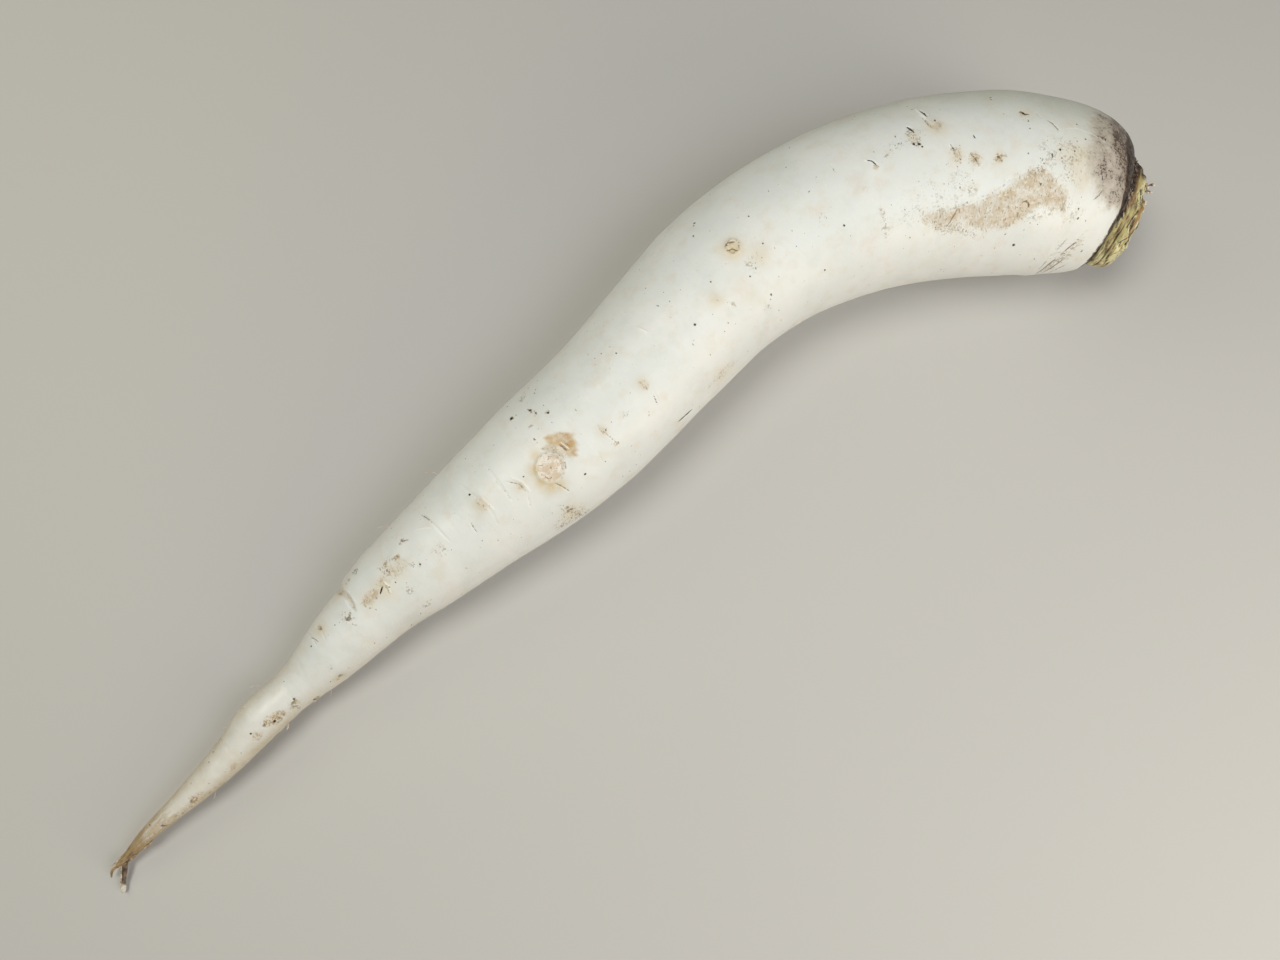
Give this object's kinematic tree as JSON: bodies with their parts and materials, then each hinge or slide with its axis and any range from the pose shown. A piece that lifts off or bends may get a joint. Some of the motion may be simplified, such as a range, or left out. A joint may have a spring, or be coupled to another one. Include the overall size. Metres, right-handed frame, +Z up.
{
  "type": "daikon radish",
  "caption": "Long white radish root with an S-shaped bend, cut off at its green leaf-stalk crown and tapering to a dry brown tip, for lying loose on a surface.",
  "frame": {"origin": "under the middle of the bounding box, on the surface that the root lies on", "axes": "+X along the longest extent, from the dry tip towards the crown; +Z up; +Y to the side that the root's middle bends to"},
  "size_m": [0.4495, 0.103, 0.0648],
  "materials": {
    "root_skin": "moist white skin with a soft gloss, tan scars and faint soil marks, brown and dry at the tip",
    "leaf_stalk": "fibrous pale green cut stalk bases, matt, with dark soil in the creases"
  },
  "bodies": {
    "root": {"root": "root_skin", "leaf_stalks": "leaf_stalk"}
  },
  "joints": []
}
